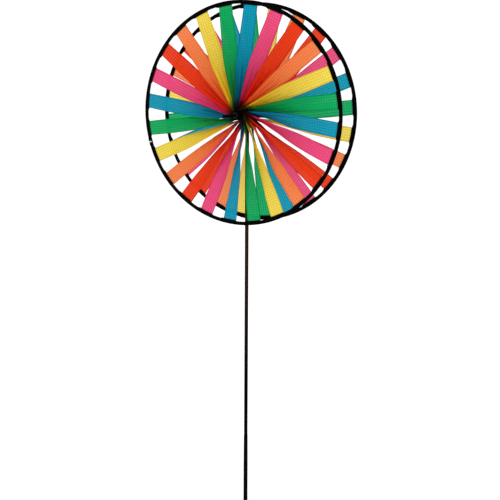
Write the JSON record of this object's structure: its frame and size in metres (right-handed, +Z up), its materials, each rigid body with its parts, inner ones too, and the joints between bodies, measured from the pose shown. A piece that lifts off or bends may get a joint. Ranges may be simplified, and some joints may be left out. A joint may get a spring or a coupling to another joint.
{
  "type": "wind spinner",
  "caption": "Garden wind spinner: back-to-back round wheels of twisted coloured cloth ribbons spin on a shared axle on top of a thin black pole that stands in the ground.",
  "frame": {"origin": "centre of the pole's foot end", "axes": "+Z up the pole, Y along the axle with the front wheel on the -Y side, +X to the right seen from the front"},
  "size_m": [0.3399, 0.152, 0.82],
  "materials": {
    "pole_rod": "black pultruded rod, satin, brownish where it catches light",
    "black_vinyl": "soft black vinyl, low sheen",
    "black_plastic": "moulded black plastic, fine texture",
    "axle_rod": "black rod, satin",
    "black_nylon": "black nylon, satin",
    "black_binding_cloth": "black woven binding tape, stitched",
    "hoop_rod": "dark pultruded rod",
    "ferrule_metal": "bare metal tube",
    "ripstop_green": "translucent ripstop nylon with a fine reinforcing grid",
    "ripstop_blue": "translucent ripstop nylon with a fine reinforcing grid",
    "ripstop_pink": "translucent fluorescent ripstop nylon",
    "ripstop_red": "translucent fluorescent ripstop nylon",
    "ripstop_coral": "translucent fluorescent ripstop nylon",
    "ripstop_yellow": "translucent fluorescent ripstop nylon"
  },
  "bodies": {
    "pole": {"pole": "pole_rod", "foot_sleeve": "black_vinyl"},
    "head": {"tee_connector": "black_plastic", "axle_rod": "axle_rod", "front_end_cap": "black_vinyl", "front_washer": "black_nylon", "front_spacer": "black_nylon", "rear_end_cap": "black_vinyl", "rear_washer": "black_nylon", "rear_spacer": "black_nylon"},
    "front_wheel": {"front_hub_spool": "black_plastic", "front_hub_wrap": "black_binding_cloth", "front_hoop": "hoop_rod", "front_ferrule": "ferrule_metal", "front_rim_binding": "black_binding_cloth", "front_ribbons_green": "ripstop_green", "front_ribbons_blue": "ripstop_blue", "front_ribbons_pink": "ripstop_pink", "front_ribbons_red": "ripstop_red", "front_ribbons_coral": "ripstop_coral", "front_ribbons_yellow": "ripstop_yellow"},
    "rear_wheel": {"rear_hub_spool": "black_plastic", "rear_hub_wrap": "black_binding_cloth", "rear_hoop": "hoop_rod", "rear_ferrule": "ferrule_metal", "rear_rim_binding": "black_binding_cloth", "rear_ribbons_green": "ripstop_green", "rear_ribbons_blue": "ripstop_blue", "rear_ribbons_pink": "ripstop_pink", "rear_ribbons_red": "ripstop_red", "rear_ribbons_coral": "ripstop_coral", "rear_ribbons_yellow": "ripstop_yellow"}
  },
  "joints": [
    {"name": "head_swivel", "type": "hinge", "parent": "pole", "child": "head", "pos_m": [0, 0, 0.637], "axis": [0, 0, 1], "continuous": true},
    {"name": "front_spin", "type": "hinge", "parent": "head", "child": "front_wheel", "pos_m": [0, -0.0208, 0.65], "axis": [0, -1, 0], "continuous": true},
    {"name": "rear_spin", "type": "hinge", "parent": "head", "child": "rear_wheel", "pos_m": [0, 0.0208, 0.65], "axis": [0, -1, 0], "continuous": true}
  ]
}
